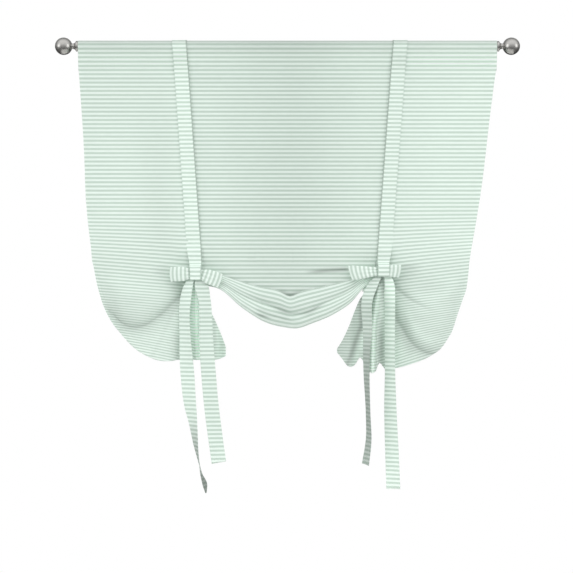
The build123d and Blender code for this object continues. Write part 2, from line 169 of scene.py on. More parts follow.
def tuck(distance: Array, above: float, below: float) -> Array:
    """A tuck of height one: steep above its crease and long below it."""
    return np.exp(np.minimum(distance, 0) / above - np.maximum(distance, 0) / below)


def span(value: Array, start: Array | float, rise: float, end: Array | float, fall: float) -> Array:
    """One between a start and an end, with a smooth rise after the start and a smooth fall before the end."""
    return ease((value - start) / rise) * ease((end - value) / fall)


def curve(stations: Stations, at: Array, column: int = 1) -> Array:
    """A smooth curve through one column of a table of stations.

    Each stretch is a cubic whose end slopes are those of the line through the neighbouring stations.

    Args:
        stations: rows whose first number rises from row to row.
        at: where the curve is read, in the units of the first number.
        column: which number of a row is followed.

    Returns:
        The curve's values.
    """
    table = np.array(stations, float)
    x, y = table[:, 0], table[:, column]
    slope = np.gradient(y, x)
    index = np.clip(np.searchsorted(x, at) - 1, 0, len(x) - 2)
    step = x[index + 1] - x[index]
    t = np.clip((at - x[index]) / step, 0, 1)
    rise = y[index + 1] - y[index]
    start, end = slope[index] * step, slope[index + 1] * step
    return y[index] + t * (start + t * (3 * rise - 2 * start - end + t * (start + end - 2 * rise)))


def below_line(x: Array, z: Array, line: Stations) -> Array:
    """How far each point is below a crease, square to it; above it the distance is negative."""
    step = 0.002
    slope = (curve(line, x + step) - curve(line, x - step)) / (2 * step)
    return (curve(line, x) - z) / np.hypot(1, slope)


def ripples(a: Array, b: Array, size: float, seed: float) -> Array:
    """A sum of four plane waves in unlike directions, between about -1 and 1: slight unevenness in cloth."""
    total = np.zeros(np.broadcast(a, b).shape)
    for turn, scale in ((0.3, 1.0), (1.4, 1.37), (2.5, 0.81), (4.1, 1.9)):
        along = a * cos(turn + seed) + b * sin(turn + seed)
        total += np.sin(2 * pi * scale * along / size + 5.1 * seed + 9 * turn)
    return total / 4


@dataclass
class Patch:
    """A grid of cloth: its points, how far along the cloth each lies, and the painted light and shade on it
    there.
    """

    points: Array
    run: Array
    light: Array

    def darken(self, share: Array) -> "Patch":
        """Takes a share of the light away, or adds it where it is below zero, and gives the patch back."""
        self.light = self.light * (1 - np.clip(share, -0.5, 0.6))
        return self


@dataclass(frozen=True)
class StripedCotton:
    """Woven cotton with even mint and white stripes: pale, matt and softly uneven."""

    name: str = "striped cotton"
    mint: str = "#c6d8cc"
    white: str = "#ebf8f0"
    period: float = 0.0106
    edge: float = 0.16
    mint_phase: float = 0.75
    roughness: float = 0.9
    sheen: float = 0.12

    def make(self) -> Material:
        """Builds the material: stripes from the cloth's own run, slubs along the threads and a fine weave,
        with the colour scaled by the painted light and shade.

        Painted light above one, as on the front pleats, stays off the cloth's back.
        """
        material = bpy.data.materials.new(self.name)
        tree = blank_tree(material)
        run = add_node(tree, "ShaderNodeAttribute", out="Fac", attribute_name="stripe_run")
        # The painted light and shade on the cloth, read from the mesh.
        light = add_node(tree, "ShaderNodeAttribute", out="Fac", attribute_name="painted_light_and_shade")
        place = add_node(tree, "ShaderNodeTexCoord", out="Object")
        facing = add_node(tree, "ShaderNodeTexCoord", out="Normal")
        depth = add_node(tree, "ShaderNodeSeparateXYZ", {0: facing}, out="Y")
        behind = rescale(tree, depth, (-0.1, 0.1))
        capped = calculate(tree, "MINIMUM", light, 1.0)
        light = add_node(tree, "ShaderNodeMix", {"Factor": behind, 2: light, 3: capped}, data_type="FLOAT")
        wave = calculate(tree, "SINE", calculate(tree, "MULTIPLY", run, 2 * pi / self.period))
        stripe = rescale(tree, wave, (-2 * self.edge, 2 * self.edge), smooth=True)
        tones = {"Factor": stripe, 6: linear(self.mint), 7: linear(self.white)}
        colour = add_node(tree, "ShaderNodeMix", tones, out=2, data_type="RGBA")
        threads = add_node(tree, "ShaderNodeMapping", {"Vector": place, "Scale": (60, 400, 900)})
        slub = add_node(tree, "ShaderNodeTexNoise", {"Vector": threads, "Scale": 1.0, "Detail": 2.0})
        grain = rescale(tree, slub, (0.25, 0.75), (0.96, 1.03))
        cloud = add_node(tree, "ShaderNodeTexNoise", {"Vector": place, "Scale": 9.0, "Detail": 2.0})
        drift = rescale(tree, cloud, (0.3, 0.7), (0.985, 1.01))
        level = calculate(tree, "MULTIPLY", calculate(tree, "MULTIPLY", grain, drift), light)
        colour = add_node(tree, "ShaderNodeVectorMath", {0: colour, "Scale": level}, operation="SCALE")
        weave = add_node(tree, "ShaderNodeTexNoise", {"Vector": place, "Scale": 1400.0, "Detail": 1.0})
        normal = add_node(tree, "ShaderNodeBump", {"Height": weave, "Strength": 0.25, "Distance": 0.0004})
        inputs = {"Base Color": colour, "Normal": normal, "Roughness": self.roughness}
        inputs |= {"Specular IOR Level": 0.2, "Sheen Weight": self.sheen, "Sheen Roughness": 0.5}
        shader = add_node(tree, "ShaderNodeBsdfPrincipled", inputs)
        add_node(tree, "ShaderNodeOutputMaterial", {"Surface": shader})
        return material


@dataclass(frozen=True)
class PlainFinish:
    """A metal or plastic finish with slight unevenness in its colour and polish."""

    name: str
    dark: str
    light: str
    metallic: float
    roughness: float
    grain: float = 260.0

    def make(self) -> Material:
        """Builds the material: two near colours and a polish that wander together."""
        material = bpy.data.materials.new(self.name)
        tree = blank_tree(material)
        place = add_node(tree, "ShaderNodeTexCoord", out="Object")
        noise = add_node(tree, "ShaderNodeTexNoise", {"Vector": place, "Scale": self.grain, "Detail": 3.0})
        tones = {"Factor": noise, 6: linear(self.dark), 7: linear(self.light)}
        colour = add_node(tree, "ShaderNodeMix", tones, out=2, data_type="RGBA")
        polish = rescale(tree, noise, (0.0, 1.0), (self.roughness - 0.05, self.roughness + 0.05))
        inputs = {"Base Color": colour, "Metallic": self.metallic, "Roughness": polish}
        shader = add_node(tree, "ShaderNodeBsdfPrincipled", inputs)
        add_node(tree, "ShaderNodeOutputMaterial", {"Surface": shader})
        return material


def cloth_object(
    name: str, patches: Sequence[Patch], thickness: float, material: Material
) -> bpy.types.Object:
    """Joins grids of cloth into one object and gives them their thickness.

    Args:
        name: the object's name.
        patches: the grids, whose edges are welded where they coincide.
        thickness: the cloth's thickness.
        material: its finish.

    Returns:
        The object, linked to the scene.
    """
    faces, first = [], 0
    for patch in patches:
        index = first + np.arange(patch.run.size).reshape(patch.run.shape)
        corners = (index[:-1, :-1], index[:-1, 1:], index[1:, 1:], index[1:, :-1])
        faces.append(np.stack(corners, -1).reshape(-1, 4))
        first += patch.run.size
    points = np.concatenate([patch.points.reshape(-1, 3) for patch in patches])
    mesh = bpy.data.meshes.new(name)
    mesh.from_pydata(points.tolist(), [], np.concatenate(faces).tolist())
    # The second attribute carries the painted light and shade of each patch.
    for label, part in (("stripe_run", "run"), ("painted_light_and_shade", "light")):
        values = np.concatenate([getattr(patch, part).ravel() for patch in patches])
        mesh.attributes.new(label, "FLOAT", "POINT").data.foreach_set("value", values.astype(np.float32))
    work = bmesh.new()
    work.from_mesh(mesh)
    bmesh.ops.remove_doubles(work, verts=work.verts, dist=1e-5)
    work.to_mesh(mesh)
    work.free()
    mesh.polygons.foreach_set("use_smooth", np.ones(len(mesh.polygons), bool))
    mesh.materials.append(material)
    cloth = add_object(name, mesh)
    wall = cloth.modifiers.new("thickness", "SOLIDIFY")
    wall.thickness = thickness
    wall.offset = 0.0
    log.info("%s: %d faces", name, len(mesh.polygons))
    return cloth


@dataclass
class Panel:
    """The cloth panel: its rod pocket, the flat upper part, two side wings, two pleated fans and the swag."""

    finish: Material
    width: float = 1.0668
    thickness: float = 0.001
    pocket_radius: float = 0.0136
    seam_drop: float = 0.0618
    knot_drop: float = 0.58
    fall: float = 0.24
    gather: float = 0.55
    left_hem: float = -0.467
    right_hem: float = 0.435
    left_plane: float = -0.2215
    right_plane: float = 0.2115
    wing_belly: float = 0.016
    wing_crease: float = 0.018
    wing_ray: float = 0.004
    swag_belly: float = 0.016
    swag_roll: float = 0.008
    swag_back: float = 0.006
    swag_turn: float = 0.036
    swag_rise: float = 0.6
    fan_setback: float = 0.008
    fan_pleat: float = 0.006
    front_pleat: float = 0.02
    full_fold: float = 0.18
    edge_bow: float = 0.0055
    ripple: float = 0.0008
    pucker: float = 0.0006
    hem_width: float = 0.024
    stitches: float = -0.0855
    pocket_columns: int = 88
    wing_grid: Grid = (100, 90)
    fan_grid: Grid = (45, 50)
    swag_grid: Grid = (92, 150)
    column_crowding: float = 1.7
    left_wing: Stations = (
        (-0.467, -0.125), (-0.4645, -0.09), (-0.46, 0.016), (-0.455, 0.123), (-0.4485, 0.229),
        (-0.441, 0.335), (-0.4305, 0.442), (-0.4163, 0.548), (-0.404, 0.615), (-0.3839, 0.718),
        (-0.3624, 0.808), (-0.3385, 0.872), (-0.312, 0.92), (-0.285, 0.932), (-0.259, 0.917),
        (-0.2215, 0.915),
    )
    left_fan: Stations = (
        (-0.2215, 0.11, 0.915), (-0.207, 0.2, 0.919), (-0.192, 0.33, 0.921), (-0.178, 0.455, 0.918),
        (-0.163, 0.605, 0.91), (-0.1475, 0.78, 0.875),
    )
    swag: Stations = (
        (-0.2215, 0.1), (-0.195, 0.125), (-0.1615, 0.165), (-0.1065, 0.367), (-0.0515, 0.516),
        (-0.0108, 0.565), (0.0251, 0.5775), (0.0586, 0.527), (0.1136, 0.4204), (0.1543, 0.2925),
        (0.178, 0.17), (0.195, 0.12), (0.2115, 0.1),
    )
    right_fan: Stations = (
        (0.119, 0.8, 0.84), (0.1304, 0.72, 0.904), (0.147, 0.56, 0.99), (0.16, 0.41, 0.975),
        (0.175, 0.26, 0.9), (0.188, 0.205, 0.985), (0.2, 0.17, 1.055), (0.2115, 0.11, 1.035),
    )
    right_wing: Stations = (
        (0.2115, 1.035), (0.2185, 0.96), (0.234, 1.015), (0.2596, 1.005), (0.2978, 0.96),
        (0.328, 0.91), (0.349, 0.86), (0.365, 0.805), (0.3744, 0.755), (0.3815, 0.704),
        (0.395, 0.596), (0.402, 0.5), (0.4103, 0.385), (0.4195, 0.27), (0.431, 0.065),
        (0.434, -0.07), (0.435, -0.125),
    )
    upper_fold: Stations = (
        (-0.2363, -0.563), (-0.1595, -0.587), (-0.0786, -0.612), (-0.0191, -0.625), (0.0064, -0.636),
        (0.03, -0.628), (0.0872, -0.6145), (0.1638, -0.595), (0.2256, -0.57),
    )
    lower_fold: Stations = (
        (-0.2363, -0.577), (-0.165, -0.61), (-0.1085, -0.64), (-0.0574, -0.657), (-0.0148, -0.674),
        (0.0064, -0.6827), (0.0447, -0.681), (0.0873, -0.66), (0.15, -0.626), (0.2256, -0.58),
    )
    last_fold: Stations = (
        (-0.2363, -0.59), (-0.11, -0.66), (-0.0658, -0.676), (-0.0235, -0.691), (0.0191, -0.7015),
        (0.08, -0.69), (0.2256, -0.59),
    )
    side_fold: Stations = ((-0.2363, -0.62), (-0.085, -0.681), (-0.055, -0.69), (0.2256, -0.78))
    pull_fold: Stations = (
        (-0.2363, -0.585), (0.04, -0.578), (0.1, -0.573), (0.165, -0.569), (0.2256, -0.566),
    )
    left_crease: Stations = (
        (-0.4982, -0.645), (-0.4453, -0.684), (-0.425, -0.704), (-0.3943, -0.716), (-0.3637, -0.711),
        (-0.3279, -0.688), (-0.2973, -0.66), (-0.2718, -0.632), (-0.2514, -0.607), (-0.2363, -0.585),
    )
    left_ray: Stations = (
        (-0.4982, -1.0), (-0.33, -0.76), (-0.313, -0.724), (-0.272, -0.637), (-0.2363, -0.561),
    )
    right_crease: Stations = (
        (0.2256, -0.56), (0.256, -0.64), (0.274, -0.69), (0.2956, -0.724), (0.317, -0.756),
        (0.334, -0.771), (0.351, -0.781), (0.372, -0.786), (0.4641, -0.81),
    )
    right_ray: Stations = (
        (0.2256, -0.575), (0.274, -0.616), (0.302, -0.639), (0.351, -0.667), (0.4641, -0.725),
    )
    left_pleat: float = -0.231
    right_pleat: Stations = (
        (-0.9, 0.212), (-0.82, 0.214), (-0.711, 0.2185), (-0.593, 0.236), (-0.5, 0.25),
    )
    strap_tops: Pair = (-0.2574, 0.2682)
    knots: Pair = (-0.2189, 0.2284)

    def height(self, share: Array) -> Array:
        """The height of a share of the drop below the knots."""
        return -(self.knot_drop + share * self.fall)

    def painted_light_level(self, x: Array, z: Array) -> Array:
        """Painted light and shade on the cloth: darkest in the middle, lightest at the right, darker low down
        outside the straps.
        """
        reach = np.clip(-z / self.knot_drop, 0, 1)
        ends = zip(self.strap_tops, self.knots)
        left, right = (self.width * (top + (knot - top) * reach) for top, knot in ends)
        inside = span(x, left - 0.01, 0.02, right + 0.01, 0.02)
        beside = bump(x, -0.33, 0.05) * span(-z, 0.1, 0.15, 0.56, 0.06)
        low = ease((-z - 0.5) / 0.1) * (1 - inside)
        level = 1.04 + 0.03 * ease((x - 0.25) / 0.25) - 0.05 * beside - 0.085 * low
        level -= 0.03 * ease((z + 0.28) / 0.22) * (1 - inside) * ease((0.45 - x) / 0.3)
        return level - inside * (0.035 + 0.1 * bump(x, 0.005, 0.15))

    def columns(self) -> tuple[Array, Array, Array]:
        """Shares of the width where the left wing, the swag and the right wing have their columns."""
        t = np.linspace(0, 1, self.wing_grid[1])
        left = self.left_hem + (self.left_plane - self.left_hem) * t**self.column_crowding
        right = self.right_hem + (self.right_plane - self.right_hem) * t[::-1] ** self.column_crowding
        middle = np.linspace(self.left_plane, self.right_plane, self.swag_grid[1])
        return left, middle, right

    def pocket(self) -> Patch:
        """The rod pocket: a line up the back, over the rod and down the front, drawn out along X."""
        lean = asin(self.pocket_radius / self.seam_drop)
        angle = np.linspace(-pi / 2 - lean, pi / 2 + lean, 25)
        y = -self.pocket_radius * np.sin(angle)
        z = self.pocket_radius * np.cos(angle)
        slope = np.linspace(1, 0, 9)[1:]
        back = y[0] * slope[::-1] + 0.0006 * (1 - slope[::-1])
        y = np.concatenate([back, y, y[-1] * slope + 0.0012 * (1 - slope)])
        rise = (z[0] + self.seam_drop) * slope
        z = np.concatenate([rise[::-1] - self.seam_drop, z, rise - self.seam_drop])
        half, rim = self.width / 2, 0.0012
        x = np.concatenate([[-half], np.linspace(rim - half, half - rim, self.pocket_columns), [half]])
        rows_y, across = np.meshgrid(y, x, indexing="ij")
        rows_z = np.broadcast_to(z[:, None], across.shape)
        pucker = self.pucker * ripples(across, rows_z, 0.05, 0.4) * ease((-rows_z - 0.02) / 0.03)
        rows_y += np.where(np.abs(rows_y) > 0.002, pucker, 0)
        patch = Patch(np.stack([across, rows_y, rows_z], -1), -rows_z, self.painted_light_level(across, rows_z))
        # Painted light on the pocket's lower front and back, and painted shade towards and on its top, where
        # it faces the light from above.
        patch.light *= 1.09 - 0.15 * ease((rows_z + 0.03) / 0.03)
        return patch.darken(0.34 * ease((rows_z + 0.002) / 0.012))

    def flat(self) -> Patch:
        """The upper part: a plane that tapers from the seam to the gathering row, with faint ripples."""
        share = np.unique(np.round(np.concatenate(self.columns()), 9))
        top = share_of(share, self.left_hem, self.right_hem) * self.width - self.width / 2
        by_stitches = np.linspace(0.057, 0.082, 6)
        down = np.concatenate([[0, 0.006, 0.03], by_stitches, np.linspace(0.13, 1, 12)])[:, None]
        top_row = 0.011 - self.seam_drop
        z = top_row - (top_row + self.gather) * down
        x = top + (share * self.width - top) * down
        z = np.broadcast_to(z, x.shape)
        edge = (2 * x / self.width) ** 2 * ease((self.gather + z) / 0.08)
        x = x + self.edge_bow * edge * np.where(x < 0, -bump(z, -0.4, 0.1), bump(z, -0.36, 0.14))
        y = self.ripple * ripples(x, z * 0.4, 0.33, 0.2) * arch(down)
        patch = Patch(np.stack([x, y, z], -1), self.run(x, z), self.painted_light_level(x, z))
        return patch.darken(0.045 * bump(z, self.stitches, 0.004))

    def run(self, x: Array, z: Array) -> Array:
        """How far down the cloth a point is.

        Stripes are level above. Below the knots they lie closer, as the cloth tips away, and on the wings
        they slope down towards the straps.
        """
        left_reach = np.clip(self.left_plane * self.width - x, 0, None)
        right_reach = np.clip(x - self.right_plane * self.width, 0, None)
        slope = 0.1 * ease((-z - 0.4) / 0.2) + 0.2 * ease((-z - 0.6) / 0.2)
        part = np.clip((-z - 0.52) / 0.16, 0, None)
        closer = np.where(part < 1, part**3 - part**4 / 2, part - 0.5)
        return -z + 0.45 * 0.16 * closer + slope * (left_reach + 1.5 * right_reach)

    def wing_depth(self, side: Array, down: Array, crease: Array) -> Array:
        """A wing's depth: a belly forwards, and back along the crease a tuck that dies out at the hem."""
        spread = arch(0.15 + 0.85 * side)
        belly = self.wing_belly * arch(down) * spread * ease(2.2 * down) * (0.2 + 0.8 * ease(side / 0.3))
        return self.wing_crease * crease * spread**0.6 * ease((side - 0.06) / 0.14) * ease(5 * down) - belly

    def fan_depth(self, side: Array, down: Array, pleat: Array, front: Array) -> Array:
        """A fan's depth: set back in even pleats, with one pleat forward between the bow's tails."""
        forward = self.front_pleat * front * ease(4 * down)
        return ease((side - 0.75) / 0.25) * (down * (self.fan_setback + self.fan_pleat * pleat) - forward)

    def left_depth(self, share: Array, z: Array, down: Array) -> Array:
        """The left wing's belly, the tuck along its smile-shaped crease, and the fan's pleats."""
        x, side = share * self.width, share_of(share, self.left_hem, self.left_plane)
        crease = 0.8 * tuck(below_line(x, z, self.left_crease), 0.011, 0.034)
        pleat = np.cos(2 * pi * (share + 0.165) / 0.045)
        front = bump(x, self.left_pleat, 0.01)
        return self.wing_depth(side, down, crease) + self.fan_depth(side, down, pleat, front)

    def right_valley(self, x: Array, z: Array) -> Array:
        """A shallow valley that runs out from the right knot over the wing, between 0 and 1."""
        below = below_line(x, z, self.right_ray)
        return tuck(below, 0.006, 0.007) * span(x, 0.255, 0.02, 0.39, 0.08)

    def right_depth(self, share: Array, z: Array, down: Array) -> Array:
        """The right wing's belly, the tuck from knot to hem, a shallow valley and the fan's pleats."""
        x, side = share * self.width, share_of(share, self.right_hem, self.right_plane)
        crease = 0.6 * tuck(below_line(x, z, self.right_crease), 0.013, 0.022)
        pleat = -np.cos(2 * pi * (share - 0.15) / 0.0485)
        front = bump(x, curve(self.right_pleat, z), 0.011)
        valley = self.wing_ray * self.right_valley(x, z)
        return valley + self.wing_depth(side, down, crease) + self.fan_depth(side, down, pleat, front)

    def left_shade(self, share: Array, z: Array, down: Array) -> Array:
        """Shade on the left: along the crease, beside the loop and the tail, in the fan and under the knot.

        Below zero it is light: on the pouch below the crease and the fan's front pleat.
        """
        x, side = share * self.width, share_of(share, self.left_hem, self.left_plane)
        below = below_line(x, z, self.left_crease)
        near_knot = 0.5 + 0.5 * ease((x + 0.33) / 0.06)
        crease = (0.05 + 0.21 * near_knot) * tuck(below, 0.007, 0.017) * ease((side - 0.08) / 0.1)
        pouch = -0.09 * ease((below - 0.004) / 0.04) * ease((1 - side) / 0.2)
        ray = 0.05 * bump(below_line(x, z, self.left_ray), 0, 0.004) * ease((-z - 0.63) / 0.03)
        beside = 0.2 * bump(x, -0.277, 0.017) * ease((-z - 0.69) / 0.07)
        loop = 0.09 * bump(z, -0.574, 0.012) * span(x, -0.35, 0.03, -0.285, 0.02)
        front = bump(x, self.left_pleat + 0.004, 0.008)
        fan = ease((side - 0.92) / 0.08) * (0.22 * bump(x, -0.188, 0.008) - 0.12 - 0.26 * front)
        gap = -0.28 * bump(x, -0.237, 0.011) * span(-z, 0.605, 0.02, 0.78, 0.08)
        near = gap + self.knot_shade(x, z, self.knots[0])
        return (crease + pouch) * ease(5 * down) + ray + beside + loop + fan + near

    def right_shade(self, share: Array, z: Array, down: Array) -> Array:
        """Shade on the right: along the crease and the valley, beside the loop, in the fan, under the knot.

        Below zero it is light, as on the left.
        """
        x, side = share * self.width, share_of(share, self.right_hem, self.right_plane)
        below = below_line(x, z, self.right_crease)
        crease = 0.23 * tuck(below, 0.013, 0.014) * span(side, 0.1, 0.12, 1.02, 0.1)
        ridge = -0.09 * bump(below, -0.034, 0.014) * ease((side - 0.25) / 0.2) * ease((-z - 0.63) / 0.04)
        hollow = 0.09 * bump(x, 0.362, 0.045) * bump(z, -0.61, 0.024)
        pouch = -0.1 * ease((below - 0.006) / 0.03) * ease((1.02 - side) / 0.1)
        valley = 0.12 * self.right_valley(x, z)
        loop = 0.16 * tuck(-0.559 - z, 0.002, 0.018) * span(x, 0.265, 0.02, 0.35, 0.04)
        pleat = curve(self.right_pleat, z)
        front, dark = bump(x, pleat + 0.002, 0.009), bump(x, pleat + 0.022, 0.008)
        leaning, low = x - 0.35 * (z + 0.724), ease((-z - 0.7) / 0.03)
        fold, strip = low * bump(leaning, 0.184, 0.006), low * bump(leaning, 0.202, 0.01)
        edge = 0.22 * bump(x, 0.189, 0.006) * ease((z + 0.74) / 0.03)
        fan = 0.17 + 0.22 * fold + 0.12 * dark + edge - 0.4 * front - 0.24 * strip
        wedge = 0.4 * bump(x - 0.455 * (z + 0.584), 0.2435, 0.003) * ease((z + 0.66) / 0.025)
        wedge += 0.36 * bump(x, 0.2415, 0.0075) * ease((-z - 0.67) / 0.09)
        folds = (crease + pouch + ridge + hollow) * ease(5 * down) + valley + ease((side - 0.92) / 0.08) * fan
        return folds + loop + wedge + self.knot_shade(x, z, self.knots[1])

    def knot_shade(self, x: Array, z: Array, knot: float) -> Array:
        """Shade close under a knot."""
        return 0.08 * np.exp(-np.hypot(1.4 * (x - knot * self.width), z + self.knot_drop + 0.03) / 0.022)

    def hanging(self, share: Array, top: Array, hem: Array, depth: Rule, shade: Rule, rows: int) -> Patch:
        """Upright lines of cloth from a top edge down to a hem, moved forwards or back by a rule of depth.

        Args:
            share: the columns, as shares of the width.
            top: height of each column's top.
            hem: height of its hem.
            depth: rule of depth, from share, height and the way down from the gathering row to the hem.
            shade: rule of the light that is lost, from the same.
            rows: number of rows.

        Returns:
            The patch.
        """
        z = top + (hem - top) * np.linspace(0, 1, rows)[:, None]
        drop = np.maximum(-self.gather - hem, 1e-4)
        x = np.broadcast_to(share * self.width, z.shape)
        folded = np.minimum(1, drop / self.full_fold) ** 1.4
        down = (-self.gather - z) / drop
        wide = np.broadcast_to(share, z.shape)
        y = folded * depth(wide, z, down)
        y += self.ripple * ripples(x, z, 0.07, 0.7) * ease(4 * down) * folded
        y += 0.0005 * bump(z - hem, self.hem_width, 0.0035) * ease(6 * down)
        patch = Patch(np.stack([x, y, z], -1), self.run(x, z), self.painted_light_level(x, z))
        # Painted highlight along the fold of the hem.
        patch.light *= 1 + 0.05 * bump(z - hem, 0, 0.005) * ease(6 * down)
        return patch.darken(folded * shade(wide, z, down))

    def wings_and_fans(self) -> list[Patch]:
        """The two wings and the two fans."""
        left, _, right = self.columns()
        wings, fans = [], []
        for wing, fan, share, depth, shade in (
            (self.left_wing, self.left_fan, left, self.left_depth, self.left_shade),
            (self.right_wing, self.right_fan, right, self.right_depth, self.right_shade),
        ):
            top, hem = np.full(share.shape, -self.gather), self.height(curve(wing, share))
            wings.append(self.hanging(share, top, hem, depth, shade, self.wing_grid[0]))
            share = np.linspace(fan[0][0], fan[-1][0], self.fan_grid[1])
            top, hem = self.height(curve(fan, share)), self.height(curve(fan, share, 2))
            fans.append(self.hanging(share, top, hem, depth, shade, self.fan_grid[0]))
        return wings + fans

    def swag_depth(self, x: Array, down: Array, drop: Array) -> Array:
        """How far the swag stands forward: a belly below the first fold, two rolls, and dents at the folds.

        Rows lie from 0 to 1 down each column's drop.
        """
        lines = (self.upper_fold, self.lower_fold, self.last_fold, self.pull_fold)
        upper, lower, last, pull = ((-self.gather - curve(line, x)) / drop for line in lines)
        first = arch(share_of(down, upper, lower))
        second = arch(share_of(down, lower, 1.12))
        folded = ease((down - upper + 0.02) / (1 - upper))
        dents = (0.4 + 0.6 * bump(x, 0.008, 0.03)) * crisp(down, upper, 0.03)
        dents += 0.5 * ease((x - 0.03) / 0.08) * crisp(down, pull, 0.03)
        dents += (0.25 + 0.75 * span(x, -0.1, 0.05, 0.1, 0.05)) * crisp(down, lower, 0.035)
        dents += span(x, -0.085, 0.015, 0.05, 0.06) * crisp(down, last, 0.03)
        return self.swag_belly * folded + self.swag_roll * (0.8 * first + second) - 0.004 * dents

    def swag_shade(self, x: Array, z: Array) -> Array:
        """Shade along the swag's folds. Below zero it is light, where the cloth gathers at the knots."""
        above, under = curve(self.upper_fold, x) - z, curve(self.lower_fold, x) - z
        shade = (0.1 + 0.05 * bump(x, 0.008, 0.03)) * tuck(above, 0.004, 0.004)
        shade += 0.4 * bump(x, 0.006, 0.02) * tuck(above, 0.007, 0.0015)
        ends = 0.27 * bump(x, -0.01, 0.022) + 0.27 * bump(x, 0.062, 0.024)
        shade += (0.05 + ends) * tuck(under, 0.003, 0.008)
        short = 0.22 * span(x, -0.085, 0.015, 0.05, 0.06)
        shade += short * tuck(curve(self.last_fold, x) - z, 0.002, 0.006)
        shade += 0.4 * bump(x, -0.064, 0.016) * bump(z, curve(self.side_fold, x), 0.0034)
        pull = 0.06 * ease((x - 0.03) / 0.08) + 0.34 * span(x, 0.035, 0.05, 0.165, 0.02)
        shade += pull * bump(z, curve(self.pull_fold, x), 0.0052)
        gathered = bump(x, 0.202, 0.022) + bump(x, -0.214, 0.02)
        return shade - 0.4 * gathered * ease((-z - 0.585) / 0.012)

    def swag_patch(self) -> Patch:
        """The swag: flat to a first fold, then two rolls, a half circle below and cloth rising behind.

        The stripes stay level down to the first fold. Below it they count a row's share of the middle line's
        length, so they follow the swag's curve and draw together at the knots.
        """
        _, share, _ = self.columns()
        x = share * self.width
        hem = self.height(curve(self.swag, share))
        spread = arch(share_of(share, self.left_plane, self.right_plane)) ** 0.8
        whole = -self.gather - hem
        turn = self.swag_turn * whole
        drop = whole - turn
        upper = (-self.gather - curve(self.upper_fold, x)) / drop
        down = np.linspace(0, 1, self.swag_grid[0])[:, None]
        y = -spread * self.swag_depth(x, down, drop)
        z = -self.gather - drop * down
        angle = np.linspace(0, pi, 10)[1:, None]
        y_turn = y[-1] + turn * (1 - np.cos(angle))
        z_turn = z[-1] - turn * np.sin(angle)
        rise = np.linspace(0, 1, 9)[1:, None]
        y_back = y_turn[-1] + (self.swag_back - y_turn[-1]) * ease(rise)
        z_back = z[-1] + drop * self.swag_rise * rise
        middle = int(np.argmax(whole))
        below = np.clip(share_of(down, upper, 1), 0, 1)
        lead = self.gather + drop[middle] * upper[middle]
        front = np.where(down < upper, -z, lead + below * drop[middle] * (1 - upper[middle]))
        patch_z = np.concatenate([z, z_turn, z_back])
        wide = np.broadcast_to(x, patch_z.shape)
        points = np.stack([wide, np.concatenate([y, y_turn, y_back]), patch_z], -1)
        hidden = np.linspace(0, 1, len(patch_z) - len(down))[:, None]
        run = np.concatenate([front, front[-1] + self.swag_rise * drop * hidden])
        lost = np.concatenate([self.swag_shade(x, z), np.zeros((len(hidden), len(share)))])
        return Patch(points, run, 0.97 * self.painted_light_level(wide, patch_z)).darken(lost)

    def build(self) -> None:
        """Builds the panel in place of its plain solid."""
        patches = [self.pocket(), self.flat(), *self.wings_and_fans(), self.swag_patch()]
        cloth = cloth_object("striped_panel", patches, self.thickness, self.finish)
        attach(cloth, "curtain")
        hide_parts("curtain_panel")


